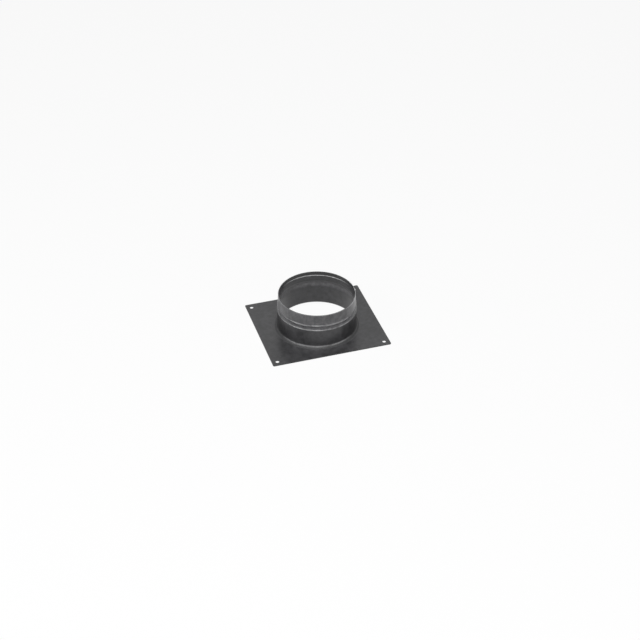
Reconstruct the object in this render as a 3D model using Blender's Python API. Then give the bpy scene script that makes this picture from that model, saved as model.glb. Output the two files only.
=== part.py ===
"""Duct adapter: a flat mounting plate with a short round collar for a 100 mm duct.

The plate is flat sheet steel.  It turns up into the collar through one soft radius.  A shoulder
narrows the collar's outside, a stop bead runs round it above the shoulder, and from there the
spigot tapers slightly to the bare rim.  Inside, the bore is straight behind the shoulder, the
bead shows as a shallow hollow, and a small ledge runs round just below the rim.
Four screw holes sit near the plate's corners.

The origin is on the plate's underside, in the middle.  The collar points along +Z and the
plate's long side runs along X.
"""

import math

import bmesh
import bpy
from mathutils import Matrix

MM = 0.001

SHEET_THICKNESS = 1.0 * MM

PLATE_LENGTH = 160.0 * MM
PLATE_WIDTH = 140.0 * MM
PLATE_CORNER_RADIUS = 2.0 * MM

SCREW_HOLE_DIAMETER = 4.8 * MM
SCREW_HOLE_INSET = 7.5 * MM

# The rim's outside fits a 100 mm duct, and every other radius of the collar follows from it.
# Heights are measured from the plate's underside.
COLLAR_HEIGHT = 51.0 * MM
RIM_DIAMETER = 101.5 * MM
SPIGOT_TAPER = 0.55 * MM
SHOULDER_WIDTH = 1.2 * MM
FOOT_RADIUS = 5.0 * MM

# The duct slides over the spigot as far as the stop bead's crest.
SPIGOT_LENGTH = 15.8 * MM
STOP_BEAD_RISE = 0.8 * MM
BEAD_UPPER_FLANK = 1.5 * MM
BEAD_LOWER_FLANK = 2.6 * MM
SHOULDER_BELOW_CREST = 5.4 * MM
SHOULDER_FLANK = 1.6 * MM

# The collar's inside.
SPIGOT_WALL = 1.1 * MM
BASE_WALL = 2.15 * MM
MOUTH_RADIUS = 3.2 * MM
HOLLOW_BELOW_CREST = 0.7 * MM
HOLLOW_DEPTH = 0.6 * MM
HOLLOW_UPPER_FLANK = 3.4 * MM
HOLLOW_LOWER_FLANK = 9.0 * MM
LEDGE_BELOW_RIM = 6.4 * MM
LEDGE_FLANK = 1.0 * MM
LEDGE_WIDTH = 0.4 * MM

TURN_STEPS = 72
BEND_STEPS = 6
HOLE_STEPS = 24
CORNER_STEPS = 4
SHARP_EDGE = math.radians(50)

PAINT_COLOUR = (0.04, 0.041, 0.043, 1.0)
PAINT_ROUGHNESS = 0.36

RIM_RADIUS = RIM_DIAMETER / 2
SPIGOT_RADIUS = RIM_RADIUS + SPIGOT_TAPER
BASE_RADIUS = SPIGOT_RADIUS + SHOULDER_WIDTH
BORE_RADIUS = BASE_RADIUS - BASE_WALL
CREST_HEIGHT = COLLAR_HEIGHT - SPIGOT_LENGTH


def shares(steps):
    """Evenly spaced values from 0 to 1."""
    return [step / steps for step in range(steps + 1)]


def bend(start, end):
    """A smooth step from one (radius, height) to another, upright at both ends."""
    points = []
    for share in shares(BEND_STEPS):
        eased = (1 - math.cos(math.pi * share)) / 2
        radius = start[0] + (end[0] - start[0]) * eased
        points.append((radius, start[1] + (end[1] - start[1]) * share))
    return points


def quarter_turn(wall_radius, corner_radius, plate_height):
    """The round corner from a level face of the plate up to the collar's wall."""
    centre_radius = wall_radius + corner_radius
    centre_height = plate_height + corner_radius
    points = []
    for share in shares(BEND_STEPS):
        angle = share * math.pi / 2
        radius = centre_radius - corner_radius * math.sin(angle)
        points.append((radius, centre_height - corner_radius * math.cos(angle)))
    return points


def spigot_radius(height):
    """The outside of the spigot, which tapers from the stop bead to the rim."""
    start = CREST_HEIGHT + BEAD_UPPER_FLANK
    return SPIGOT_RADIUS - SPIGOT_TAPER * (height - start) / (COLLAR_HEIGHT - start)


def outside_profile():
    """Up the outside of the collar: foot, shoulder, stop bead and rim."""
    shoulder_top = CREST_HEIGHT - SHOULDER_BELOW_CREST
    crest = (SPIGOT_RADIUS + STOP_BEAD_RISE, CREST_HEIGHT)
    return (
        quarter_turn(BASE_RADIUS, FOOT_RADIUS, SHEET_THICKNESS)
        + bend((BASE_RADIUS, shoulder_top - SHOULDER_FLANK), (SPIGOT_RADIUS, shoulder_top))
        + bend((SPIGOT_RADIUS, CREST_HEIGHT - BEAD_LOWER_FLANK), crest)
        + bend(crest, (SPIGOT_RADIUS, CREST_HEIGHT + BEAD_UPPER_FLANK))[1:]
        + [(RIM_RADIUS, COLLAR_HEIGHT)]
    )


def inside_profile():
    """Down the inside of the collar: rim, ledge, the bead's hollow, bore and mouth."""
    ledge_height = COLLAR_HEIGHT - LEDGE_BELOW_RIM
    ledge_radius = spigot_radius(ledge_height) - SPIGOT_WALL
    ledge_top = (ledge_radius + LEDGE_WIDTH, ledge_height + LEDGE_FLANK)
    hollow = (BORE_RADIUS + HOLLOW_DEPTH, CREST_HEIGHT - HOLLOW_BELOW_CREST)
    hollow_top = hollow[1] + HOLLOW_UPPER_FLANK
    return (
        [(RIM_RADIUS - SPIGOT_WALL, COLLAR_HEIGHT)]
        + bend(ledge_top, (ledge_radius, ledge_height))
        + bend((spigot_radius(hollow_top) - SPIGOT_WALL, hollow_top), hollow)
        + bend(hollow, (BORE_RADIUS, hollow[1] - HOLLOW_LOWER_FLANK))[1:]
        + quarter_turn(BORE_RADIUS, MOUTH_RADIUS, 0)[::-1]
    )


def add_collar(bm):
    """Turn the outside and the inside, joined across the rim, about the Z axis."""
    profile = outside_profile() + inside_profile()
    verts = [bm.verts.new((radius, 0, height)) for radius, height in profile]
    edges = [bm.edges.new(pair) for pair in zip(verts, verts[1:])]
    bmesh.ops.spin(
        bm,
        geom=verts + edges,
        cent=(0, 0, 0),
        axis=(0, 0, 1),
        angle=2 * math.pi,
        steps=TURN_STEPS,
        use_merge=True,
    )


def add_plate_outline(bm):
    """The plate's cut edge on its underside, with the corners rounded."""
    corners = bmesh.ops.create_grid(
        bm,
        x_segments=1,
        y_segments=1,
        size=0.5,
        matrix=Matrix.Diagonal((PLATE_LENGTH, PLATE_WIDTH, 1, 1)),
    )["verts"]
    rounded = bmesh.ops.bevel(
        bm,
        geom=corners,
        affect='VERTICES',
        offset=PLATE_CORNER_RADIUS,
        segments=CORNER_STEPS,
        profile=0.5,
        material=-1,
    )["verts"]
    blank = list(rounded[0].link_faces)
    bmesh.ops.delete(bm, geom=blank, context='FACES_ONLY')


def add_screw_holes(bm):
    """One hole near each corner, at the same distance from both edges."""
    across = PLATE_LENGTH / 2 - SCREW_HOLE_INSET
    along = PLATE_WIDTH / 2 - SCREW_HOLE_INSET
    for x in (-across, across):
        for y in (-along, along):
            bmesh.ops.create_circle(
                bm,
                segments=HOLE_STEPS,
                radius=SCREW_HOLE_DIAMETER / 2,
                matrix=Matrix.Translation((x, y, 0)),
            )


def raise_cut_edges(bm, cut_edges):
    """Carry the outline and the holes up through the sheet; gives the edges on its top face."""
    raised = bmesh.ops.extrude_edge_only(bm, edges=cut_edges)["geom"]
    verts = [item for item in raised if isinstance(item, bmesh.types.BMVert)]
    bmesh.ops.translate(bm, verts=verts, vec=(0, 0, SHEET_THICKNESS))
    return [item for item in raised if isinstance(item, bmesh.types.BMEdge) and item.is_boundary]


def fill_plate(bm):
    """Fill the plate's underside and top between the outline, the holes and the collar."""
    half_sheet = SHEET_THICKNESS / 2
    rings = [edge for edge in bm.edges if edge.is_boundary]
    mouth_ring = [edge for edge in rings if edge.verts[0].co.z < half_sheet]
    foot_ring = [edge for edge in rings if edge.verts[0].co.z > half_sheet]
    cut_edges = [edge for edge in bm.edges if edge.is_wire]
    top_edges = raise_cut_edges(bm, cut_edges)
    for edges, side in ((mouth_ring + cut_edges, -1), (foot_ring + top_edges, 1)):
        bmesh.ops.triangle_fill(bm, edges=edges, use_beauty=True, normal=(0, 0, side))


def adapter_mesh():
    """The whole adapter as one closed skin."""
    bm = bmesh.new()
    add_collar(bm)
    add_plate_outline(bm)
    add_screw_holes(bm)
    fill_plate(bm)
    bmesh.ops.recalc_face_normals(bm, faces=bm.faces)
    mesh = bpy.data.meshes.new("adapter_body")
    bm.to_mesh(mesh)
    bm.free()
    mesh.shade_smooth()
    mesh.set_sharp_from_angle(angle=SHARP_EDGE)
    return mesh


def paint_material():
    """Satin dark grey paint over the steel."""
    material = bpy.data.materials.new("dark_grey_paint")
    material.use_nodes = True
    shader = material.node_tree.nodes["Principled BSDF"]
    shader.inputs["Base Color"].default_value = PAINT_COLOUR
    shader.inputs["Roughness"].default_value = PAINT_ROUGHNESS
    shader.inputs["Metallic"].default_value = 0.0
    return material


def main():
    for old in list(bpy.data.objects):
        bpy.data.objects.remove(old, do_unlink=True)
    collection = bpy.data.collections.new("duct_adapter")
    bpy.context.scene.collection.children.link(collection)
    mesh = adapter_mesh()
    mesh.materials.append(paint_material())
    collection.objects.link(bpy.data.objects.new("adapter_body", mesh))


main()
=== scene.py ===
"""The duct adapter, dressed: fine sheet, rubbed satin paint, soft studio light."""

import math

import bmesh
import bpy
from mathutils import Matrix, Vector


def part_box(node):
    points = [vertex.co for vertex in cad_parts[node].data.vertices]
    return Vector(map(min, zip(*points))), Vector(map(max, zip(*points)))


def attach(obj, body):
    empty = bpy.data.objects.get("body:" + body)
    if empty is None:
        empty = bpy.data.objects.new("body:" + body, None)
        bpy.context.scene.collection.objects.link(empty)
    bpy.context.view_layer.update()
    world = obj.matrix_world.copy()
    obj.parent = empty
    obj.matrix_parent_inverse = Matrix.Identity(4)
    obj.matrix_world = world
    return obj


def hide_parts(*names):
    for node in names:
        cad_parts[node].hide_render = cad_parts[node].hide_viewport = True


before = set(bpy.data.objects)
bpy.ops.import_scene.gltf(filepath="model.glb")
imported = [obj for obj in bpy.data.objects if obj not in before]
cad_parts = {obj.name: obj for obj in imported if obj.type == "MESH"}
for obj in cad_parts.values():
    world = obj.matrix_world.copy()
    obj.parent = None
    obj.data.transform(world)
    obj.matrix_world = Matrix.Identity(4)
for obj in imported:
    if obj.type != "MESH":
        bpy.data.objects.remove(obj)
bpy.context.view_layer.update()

# The adapter.  One piece of thin sheet steel: a flat plate with four screw holes, drawn up in the
# middle into a round collar.  The collar has a shoulder, a stop bead for the duct's end and a bare
# rim; inside there is a shallow hollow behind the bead and a small ledge below the rim.

MM = 0.001

low, high = (Vector(corner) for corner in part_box("adapter_body"))
PLATE_LENGTH = high.x - low.x
PLATE_WIDTH = high.y - low.y
RIM_HEIGHT = high.z

SHEET = 1.0 * MM
PLATE_CORNER = 2.0 * MM
HOLE_RADIUS = 2.4 * MM
HOLE_INSET = 7.5 * MM

RIM_RADIUS = 50.75 * MM
SPIGOT_RADIUS = RIM_RADIUS + 0.55 * MM
BASE_RADIUS = SPIGOT_RADIUS + 1.2 * MM
FOOT_RADIUS = 5.0 * MM
FOOT_EDGE = BASE_RADIUS + FOOT_RADIUS
CREST_HEIGHT = RIM_HEIGHT - 15.8 * MM
CREST_RADIUS = SPIGOT_RADIUS + 0.8 * MM
BEAD_TOP = CREST_HEIGHT + 1.5 * MM
BEAD_BOTTOM = CREST_HEIGHT - 2.6 * MM
SHOULDER_TOP = CREST_HEIGHT - 5.4 * MM
SHOULDER_BOTTOM = SHOULDER_TOP - 1.6 * MM

SPIGOT_WALL = 1.1 * MM
BORE_RADIUS = BASE_RADIUS - 2.15 * MM
MOUTH_RADIUS = 3.2 * MM
HOLLOW_HEIGHT = CREST_HEIGHT - 0.7 * MM
HOLLOW_RADIUS = BORE_RADIUS + 0.6 * MM
HOLLOW_TOP = HOLLOW_HEIGHT + 3.4 * MM
HOLLOW_BOTTOM = HOLLOW_HEIGHT - 9.0 * MM
LEDGE_BOTTOM = RIM_HEIGHT - 6.4 * MM
LEDGE_TOP = LEDGE_BOTTOM + 1.0 * MM
LEDGE_WIDTH = 0.4 * MM

TURN_STEPS = 192
BEND_STEPS = 18
CORNER_STEPS = 8
HOLE_STEPS = 48
CUT_EDGE = 0.2 * MM
CUT_EDGE_STEPS = 3
CUT_EDGE_ANGLE = math.radians(60)


def bend(start, end):
    """A smooth step from one (radius, height) to another, upright at both ends."""
    points = []
    for step in range(BEND_STEPS + 1):
        share = step / BEND_STEPS
        eased = (1 - math.cos(math.pi * share)) / 2
        bend_radius = start[0] + (end[0] - start[0]) * eased
        points.append((bend_radius, start[1] + (end[1] - start[1]) * share))
    return points


def quarter_turn(wall_radius, corner_radius, plate_height):
    """The round corner from a level face of the plate up to the collar's wall."""
    points = []
    for step in range(BEND_STEPS + 1):
        angle = math.pi / 2 * step / BEND_STEPS
        bend_radius = wall_radius + corner_radius * (1 - math.sin(angle))
        points.append((bend_radius, plate_height + corner_radius * (1 - math.cos(angle))))
    return points


def spigot_radius(level):
    """The outside of the spigot, which tapers from the stop bead to the rim."""
    share = (level - BEAD_TOP) / (RIM_HEIGHT - BEAD_TOP)
    return SPIGOT_RADIUS + (RIM_RADIUS - SPIGOT_RADIUS) * share


crest = (CREST_RADIUS, CREST_HEIGHT)
outside = quarter_turn(BASE_RADIUS, FOOT_RADIUS, SHEET)
outside += bend((BASE_RADIUS, SHOULDER_BOTTOM), (SPIGOT_RADIUS, SHOULDER_TOP))
outside += bend((SPIGOT_RADIUS, BEAD_BOTTOM), crest)
outside += bend(crest, (SPIGOT_RADIUS, BEAD_TOP))[1:]
outside += [(RIM_RADIUS, RIM_HEIGHT)]

ledge = (spigot_radius(LEDGE_BOTTOM) - SPIGOT_WALL, LEDGE_BOTTOM)
hollow = (HOLLOW_RADIUS, HOLLOW_HEIGHT)
inside = [(RIM_RADIUS - SPIGOT_WALL, RIM_HEIGHT)]
inside += bend((ledge[0] + LEDGE_WIDTH, LEDGE_TOP), ledge)
inside += bend((spigot_radius(HOLLOW_TOP) - SPIGOT_WALL, HOLLOW_TOP), hollow)
inside += bend(hollow, (BORE_RADIUS, HOLLOW_BOTTOM))[1:]
inside += quarter_turn(BORE_RADIUS, MOUTH_RADIUS, 0)[::-1]

adapter = bmesh.new()
wall = [adapter.verts.new((x, 0, z)) for x, z in outside + inside]
wall += [adapter.edges.new(pair) for pair in zip(wall, wall[1:])]
bmesh.ops.spin(
    adapter,
    geom=wall,
    cent=(0, 0, 0),
    axis=(0, 0, 1),
    angle=2 * math.pi,
    steps=TURN_STEPS,
    use_merge=True,
)
open_rings = [edge for edge in adapter.edges if edge.is_boundary]
mouth_ring = [edge for edge in open_rings if edge.verts[0].co.z < SHEET / 2]
foot_ring = [edge for edge in open_rings if edge.verts[0].co.z > SHEET / 2]

blank = bmesh.ops.create_grid(
    adapter,
    x_segments=1,
    y_segments=1,
    size=0.5,
    matrix=Matrix.Diagonal((PLATE_LENGTH, PLATE_WIDTH, 1, 1)),
)["verts"]
rounded = bmesh.ops.bevel(
    adapter,
    geom=blank,
    affect='VERTICES',
    offset=PLATE_CORNER,
    segments=CORNER_STEPS,
    profile=0.5,
    material=-1,
)["verts"]
bmesh.ops.delete(adapter, geom=list(rounded[0].link_faces), context='FACES_ONLY')

for side_x in (-1, 1):
    for side_y in (-1, 1):
        hole_x = side_x * (PLATE_LENGTH / 2 - HOLE_INSET)
        hole_y = side_y * (PLATE_WIDTH / 2 - HOLE_INSET)
        bmesh.ops.create_circle(
            adapter,
            segments=HOLE_STEPS,
            radius=HOLE_RADIUS,
            matrix=Matrix.Translation((hole_x, hole_y, 0)),
        )

# The outline and the holes are carried up through the sheet, then both faces are filled.
cut_edges = [edge for edge in adapter.edges if edge.is_wire]
raised = bmesh.ops.extrude_edge_only(adapter, edges=cut_edges)["geom"]
raised_verts = [item for item in raised if isinstance(item, bmesh.types.BMVert)]
bmesh.ops.translate(adapter, verts=raised_verts, vec=(0, 0, SHEET))
raised_edges = [item for item in raised if isinstance(item, bmesh.types.BMEdge)]
top_edges = [edge for edge in raised_edges if edge.is_boundary]
for edges, side in ((mouth_ring + cut_edges, -1), (foot_ring + top_edges, 1)):
    bmesh.ops.triangle_fill(adapter, edges=edges, use_beauty=True, normal=(0, 0, side))
bmesh.ops.recalc_face_normals(adapter, faces=adapter.faces)

adapter_mesh = bpy.data.meshes.new("painted_adapter")
adapter.to_mesh(adapter_mesh)
adapter.free()
adapter_mesh.shade_smooth()
body = bpy.data.objects.new("painted_adapter", adapter_mesh)
bpy.context.scene.collection.objects.link(body)

broken = body.modifiers.new("broken edges", 'BEVEL')
broken.width = CUT_EDGE
broken.segments = CUT_EDGE_STEPS
broken.limit_method = 'ANGLE'
broken.angle_limit = CUT_EDGE_ANGLE
broken.harden_normals = True

# Its finish is one coat of satin dark grey paint.  Ducts and handling have rubbed the spigot
# lighter, more so at its sides, where part of the lightness is painted sheen, and worn the bead, the
# shoulder, the rim and the inner ledge, which also carry painted highlights.  A painted highlight
# runs along the foot's bend, and painted light lies in the hollow and on the plate in front of the
# foot.  Painted shade lies below the rim, above the hollow, round the foot and at the lower wall's
# two sides.

PAINT = (0.0345, 0.0342, 0.0362, 1)
# A darker grey for painted shade.
PAINTED_SHADE = (0.014, 0.014, 0.015, 1)
# Rubbed paint, and painted light on the plate in front of the foot.
RUBBED_PAINT_AND_LIGHT = (0.075, 0.0744, 0.0778, 1)
# Worn paint, which also carries painted highlights and sheen.
WORN_PAINT_AND_HIGHLIGHT = (0.18, 0.18, 0.185, 1)
# Bare steel, which also carries painted highlights.
BARE_STEEL_AND_HIGHLIGHT = (0.37, 0.37, 0.375, 1)
# A paler grey, painted light on the hollow's lower flank.
PAINTED_LIGHT_GREY = (0.115, 0.114, 0.118, 1)

BLOTCH_SIZE = 14 * MM
MOTTLE_SIZE = 2.6 * MM
SCUFF_WIDTH = 1.5 * MM
SCUFF_SQUEEZE = (1, 1, 0.3)
GRAIN_SIZE = 0.45 * MM
PEEL_SIZE = 1.4 * MM
PEEL_DEPTH = 0.03 * MM

# The side of the collar that faces the front panels; the wear, the painted highlights and the
# painted shade are laid out from it.
FRONT_X = -0.3
FRONT_Y = -0.954

paint = bpy.data.materials.new("satin_paint")
paint.use_nodes = True
paint_nodes = paint.node_tree.nodes
paint_links = paint.node_tree.links
paint_shader = paint_nodes["Principled BSDF"]


def feed(socket, value):
    """Set a socket to a fixed value, or join it to another socket."""
    if isinstance(value, bpy.types.NodeSocket):
        paint_links.new(value, socket)
    else:
        socket.default_value = value


def calc(operation, *values):
    """A Math node's result."""
    node = paint_nodes.new('ShaderNodeMath')
    node.operation = operation
    for socket, value in zip(node.inputs, values):
        feed(socket, value)
    return node.outputs[0]


def chain(operation, masks):
    """One Math operation carried through several masks in turn."""
    result = masks[0]
    for mask in masks[1:]:
        result = calc(operation, result, mask)
    return result


def times(*masks):
    """The masks multiplied together, so the result is 1 only where all of them are."""
    return chain('MULTIPLY', masks)


def highest(*masks):
    """The strongest of the masks at each place."""
    return chain('MAXIMUM', masks)


def fade(value, start, end, first=0, last=1):
    """Goes smoothly from first to last while the value goes from start to end."""
    node = paint_nodes.new('ShaderNodeMapRange')
    node.interpolation_type = 'SMOOTHSTEP'
    for socket, number in zip(node.inputs, (value, start, end, first, last)):
        feed(socket, number)
    return node.outputs["Result"]


def ring_band(middle, half_width):
    """A soft band round the collar, strongest at one height."""
    return fade(calc('ABSOLUTE', calc('SUBTRACT', height, middle)), 0, half_width, 1, 0)


def coat(under, over, mask):
    """One colour laid over another where the mask is 1."""
    node = paint_nodes.new('ShaderNodeMix')
    node.data_type = 'RGBA'
    feed(node.inputs["Factor"], mask)
    feed(node.inputs["A"], under)
    feed(node.inputs["B"], over)
    return node.outputs["Result"]


def speckle(where, size, detail, seed):
    """Noise whose blots are about the given size across."""
    node = paint_nodes.new('ShaderNodeTexNoise')
    node.noise_dimensions = '4D'
    feed(node.inputs["Vector"], where)
    node.inputs["W"].default_value = seed
    node.inputs["Scale"].default_value = 0.5 / size
    node.inputs["Detail"].default_value = detail
    return node.outputs["Fac"]


place = paint_nodes.new('ShaderNodeTexCoord').outputs["Object"]
axes = paint_nodes.new('ShaderNodeSeparateXYZ')
feed(axes.inputs[0], place)
across, along, height = axes.outputs
radius = calc('SQRT', calc('ADD', calc('POWER', across, 2), calc('POWER', along, 2)))
# How far a point lies behind the collar's axis, away from the side that faces the front panels.
behind = calc('ADD', times(across, -FRONT_X), times(along, -FRONT_Y))

# The paint's own unevenness, and the scuffs, which run up and down.
upright = paint_nodes.new('ShaderNodeVectorMath')
upright.operation = 'MULTIPLY'
feed(upright.inputs[0], place)
feed(upright.inputs[1], SCUFF_SQUEEZE)

blotches = speckle(place, BLOTCH_SIZE, detail=2, seed=1.3)
mottle = speckle(place, MOTTLE_SIZE, detail=3, seed=4.1)
grain = speckle(place, GRAIN_SIZE, detail=2, seed=7.7)
peel = speckle(place, PEEL_SIZE, detail=1, seed=2.9)
scuffs = speckle(upright.outputs["Vector"], SCUFF_WIDTH, detail=3, seed=5.5)

# The middle of the wall's thickness parts its outer side from its inner side.
wall_middle = fade(
    height,
    HOLLOW_HEIGHT,
    RIM_HEIGHT,
    SPIGOT_RADIUS - 0.15 * MM,
    RIM_RADIUS - SPIGOT_WALL / 2,
)
outer_side = calc('GREATER_THAN', radius, wall_middle)
inner_side = calc('SUBTRACT', 1, outer_side)

# Rubbed: the spigot.  Towards its sides it is lighter still, part rubbing and part painted sheen,
# and there the groove below the bead is painted lighter, a painted light that takes out its shade.
spigot = times(outer_side, fade(height, SHOULDER_BOTTOM - 0.6 * MM, SHOULDER_BOTTOM + 0.4 * MM))
rubbing = times(spigot, fade(blotches, 0.25, 0.6, 0.8, 1), fade(scuffs, 0.3, 0.62, 0.35, 1))
side_rubbing_and_sheen = times(spigot, fade(behind, -52 * MM, -10 * MM, 0.05, 0.4))
groove = ring_band(SHOULDER_TOP + 1.6 * MM, 2.4 * MM)
groove_painted_light = times(spigot, groove, fade(behind, -52 * MM, -15 * MM, 0, 0.6))
side_rubbing_and_sheen = highest(side_rubbing_and_sheen, groove_painted_light)

# Worn, with painted highlights: the bead and the shoulder, worn and brightest towards the front as a
# painted highlight; a painted highlight along the foot's bend; the rim, bare and brightest on its
# right as a painted highlight; and the inner ledge, bare and brightest at the back as a painted
# highlight.
bead = ring_band(CREST_HEIGHT, 1.5 * MM)
shoulder = ring_band(SHOULDER_BOTTOM + 0.6 * MM, 1.0 * MM)
ridge_wear_and_highlight = times(
    outer_side,
    highest(bead, shoulder),
    fade(mottle, 0.3, 0.55, 0.55, 1),
    fade(behind, -53 * MM, -46 * MM, 0.6, 1),
    fade(behind, -40 * MM, -14 * MM, 1, 0.15),
)
foot_painted_highlight = times(
    calc('GREATER_THAN', radius, BASE_RADIUS),
    ring_band(SHEET + 2.9 * MM, 1.1 * MM),
    fade(mottle, 0.3, 0.55, 0.55, 0.95),
    fade(behind, -44 * MM, -24 * MM, 1, 0),
)
rim_wear_and_highlight = times(
    outer_side,
    fade(height, RIM_HEIGHT - 1.2 * MM, RIM_HEIGHT - 0.4 * MM),
    fade(across, 25 * MM, 50 * MM, 0.2, 1),
)
ledge_wear_and_highlight = times(
    inner_side,
    ring_band((LEDGE_TOP + LEDGE_BOTTOM) / 2 + 0.2 * MM, 0.9 * MM),
    fade(behind, 22 * MM, 46 * MM, 0.1, 1),
)

# Painted shade: below the rim, above the hollow, in the foot's corner, and at the lower wall's two
# sides.
shade_under_rim = times(inner_side, fade(height, LEDGE_TOP, LEDGE_TOP + 0.8 * MM))
shade_above_hollow = times(inner_side, ring_band(HOLLOW_TOP - 0.7 * MM, 2.6 * MM))
foot_corner_shade = times(
    fade(height, 0.5 * MM, 0.9 * MM),
    fade(radius, BASE_RADIUS + 0.8 * MM, BASE_RADIUS + 1.8 * MM),
    fade(radius, BASE_RADIUS + 2.6 * MM, BASE_RADIUS + 4.4 * MM, 1, 0),
)
lower_wall_side_shade = times(
    outer_side,
    fade(height, SHEET + 0.1 * MM, SHEET + 0.8 * MM),
    fade(height, SHOULDER_BOTTOM - 1.5 * MM, SHOULDER_BOTTOM, 1, 0),
    fade(behind, -44 * MM, -24 * MM),
    fade(behind, 5 * MM, 25 * MM, 1, 0),
)

# Painted light: a paler band on the hollow's lower flank, and a little on the plate in front of the
# foot.
hollow_painted_light = times(
    inner_side,
    ring_band(HOLLOW_HEIGHT - 3.3 * MM, 5.4 * MM),
    fade(mottle, 0.2, 0.6, 0.55, 1),
)
plate_painted_light = times(
    fade(radius, FOOT_EDGE - 1 * MM, FOOT_EDGE),
    fade(radius, FOOT_EDGE + 2 * MM, FOOT_EDGE + 9 * MM, 1, 0),
    fade(behind, -54 * MM, -40 * MM, 1, 0),
)

# The coats, each laid over the one before it: painted shade, then painted light, then the rubbing
# and the wear with their painted sheen and highlights.
colour = coat(PAINT, PAINTED_SHADE, shade_under_rim)
colour = coat(colour, PAINTED_SHADE, times(shade_above_hollow, 0.6))
colour = coat(colour, PAINTED_SHADE, times(foot_corner_shade, 0.8))
colour = coat(colour, PAINTED_SHADE, times(lower_wall_side_shade, 0.85))
colour = coat(colour, RUBBED_PAINT_AND_LIGHT, times(plate_painted_light, 0.3))
colour = coat(colour, PAINTED_LIGHT_GREY, times(hollow_painted_light, 0.8))
colour = coat(colour, RUBBED_PAINT_AND_LIGHT, rubbing)
colour = coat(colour, WORN_PAINT_AND_HIGHLIGHT, highest(side_rubbing_and_sheen, ridge_wear_and_highlight, foot_painted_highlight))
colour = coat(colour, BARE_STEEL_AND_HIGHLIGHT, highest(ledge_wear_and_highlight, rim_wear_and_highlight))

tone = times(
    fade(mottle, 0.25, 0.75, 0.72, 1.28),
    fade(blotches, 0.25, 0.75, 0.93, 1.07),
    fade(grain, 0.25, 0.75, 0.9, 1.1),
)
shade = paint_nodes.new('ShaderNodeVectorMath')
shade.operation = 'SCALE'
feed(shade.inputs[0], colour)
feed(shade.inputs["Scale"], tone)
feed(paint_shader.inputs["Base Color"], shade.outputs["Vector"])

# Worn paint is smoother; the hollow's paler band and the foot's painted shade are rougher.
roughness = fade(mottle, 0.25, 0.75, 0.29, 0.37)
roughness = calc('SUBTRACT', roughness, times(highest(ridge_wear_and_highlight, ledge_wear_and_highlight), 0.06))
roughness = calc('ADD', roughness, times(hollow_painted_light, 0.12))
roughness = calc('ADD', roughness, times(foot_corner_shade, 0.3))
feed(paint_shader.inputs["Roughness"], roughness)

bump = paint_nodes.new('ShaderNodeBump')
bump.inputs["Strength"].default_value = 1
bump.inputs["Distance"].default_value = PEEL_DEPTH
feed(bump.inputs["Height"], calc('ADD', peel, times(grain, 0.25)))
feed(paint_shader.inputs["Normal"], bump.outputs["Normal"])
adapter_mesh.materials.append(paint)

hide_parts("adapter_body")
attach(body, "root")

# The floor.  A matt white sweep just under the plate.  The camera sees it almost as bright as the
# surroundings, and the small share that is lit keeps the adapter's faint shadow.

FLOOR_HALF_SIDE = 4.0
FLOOR_DROP = 0.2 * MM
FLOOR_WHITE_SHARE = 0.92


def seen_rays(tree):
    """1 for what the camera sees, also in gloss or through glass, and 0 for what lights a face."""
    path = tree.nodes.new('ShaderNodeLightPath')
    seen = path.outputs["Is Camera Ray"]
    for ray in ("Is Glossy Ray", "Is Transmission Ray"):
        either = tree.nodes.new('ShaderNodeMath')
        either.operation = 'MAXIMUM'
        tree.links.new(seen, either.inputs[0])
        tree.links.new(path.outputs[ray], either.inputs[1])
        seen = either.outputs[0]
    return seen


floor_mesh = bpy.data.meshes.new("floor")
floor_grid = bmesh.new()
bmesh.ops.create_grid(floor_grid, x_segments=1, y_segments=1, size=FLOOR_HALF_SIDE)
floor_grid.to_mesh(floor_mesh)
floor_grid.free()
floor = bpy.data.objects.new("floor", floor_mesh)
bpy.context.scene.collection.objects.link(floor)
floor.location.z = low.z - FLOOR_DROP

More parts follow.
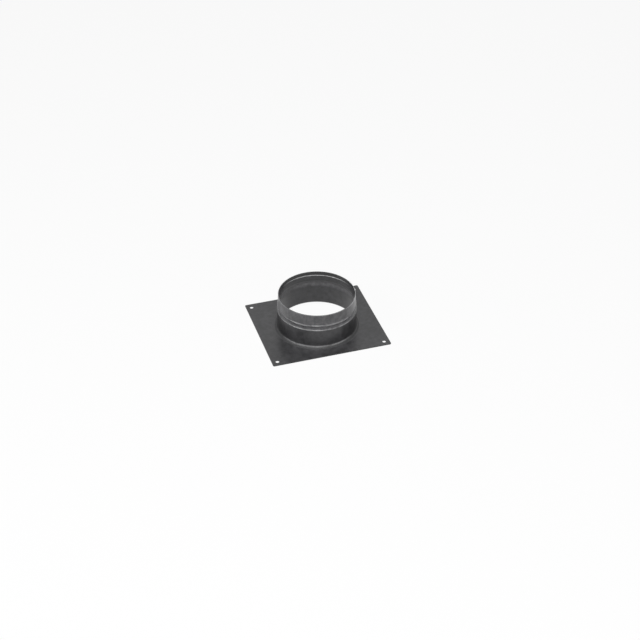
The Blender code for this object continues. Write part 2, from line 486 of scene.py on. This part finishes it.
sweep = bpy.data.materials.new("white_sweep")
sweep.use_nodes = True
sweep_nodes = sweep.node_tree.nodes
sweep_links = sweep.node_tree.links
sweep_shader = sweep_nodes["Principled BSDF"]
sweep_shader.inputs["Base Color"].default_value = (0.8, 0.8, 0.8, 1)
sweep_shader.inputs["Roughness"].default_value = 0.9
sweep_shader.inputs["Specular IOR Level"].default_value = 0
white = sweep_nodes.new('ShaderNodeEmission')
white_share = sweep_nodes.new('ShaderNodeMath')
white_share.operation = 'MULTIPLY'
sweep_links.new(seen_rays(sweep.node_tree), white_share.inputs[0])
white_share.inputs[1].default_value = FLOOR_WHITE_SHARE
mixed = sweep_nodes.new('ShaderNodeMixShader')
sweep_links.new(white_share.outputs[0], mixed.inputs["Fac"])
sweep_links.new(sweep_shader.outputs["BSDF"], mixed.inputs[1])
sweep_links.new(white.outputs["Emission"], mixed.inputs[2])
sweep_links.new(mixed.outputs["Shader"], sweep_nodes["Material Output"].inputs["Surface"])
floor_mesh.materials.append(sweep)

# The light.  White surroundings that only the camera and the gloss see, and soft panels round
# the adapter: two in front, one overhead, one on the left and a low one on the right.

world = bpy.data.worlds.new("studio")
world.use_nodes = True
background = world.node_tree.nodes["Background"]
background.inputs["Color"].default_value = (1, 1, 1, 1)
world.node_tree.links.new(seen_rays(world.node_tree), background.inputs["Strength"])
bpy.context.scene.world = world

PANEL_DISTANCE = 1.6
# Each panel's rise above the floor and turn from the front in degrees, its side in metres, and
# its radiance.
panels = {
    "front panel": (48, -17, 0.50, 13.0),
    "low front panel": (33, -17, 0.60, 2.7),
    "overhead panel": (84, -17, 0.60, 7.3),
    "left panel": (36, -77, 0.60, 7.0),
    "low right panel": (20, 33, 0.70, 2.7),
}
for name, (rise, turn, size, radiance) in panels.items():
    lamp = bpy.data.lights.new(name, 'AREA')
    lamp.size = size
    lamp.energy = math.pi * size * size * radiance
    panel = bpy.data.objects.new(name, lamp)
    bpy.context.scene.collection.objects.link(panel)
    rise, turn = math.radians(rise), math.radians(turn)
    outward = math.cos(rise)
    towards = Vector((outward * math.sin(turn), -outward * math.cos(turn), math.sin(rise)))
    panel.location = towards * PANEL_DISTANCE
    panel.rotation_euler = towards.to_track_quat('Z', 'Y').to_euler()

# The camera.  It stands where the photograph was taken from, in front of the plate, a little to
# the left and high above the rim.

camera = bpy.data.objects.new("camera", bpy.data.cameras.new("camera"))
bpy.context.scene.collection.objects.link(camera)
camera.data.lens = 85
camera.location = Vector((-479.00, -1542.39, 1186.87)) * MM
aim = Vector((3.95, -1.24, 7.77)) * MM
camera.rotation_euler = (aim - camera.location).to_track_quat('-Z', 'Y').to_euler()
bpy.context.scene.camera = camera

bpy.context.scene.view_settings.view_transform = 'Standard'
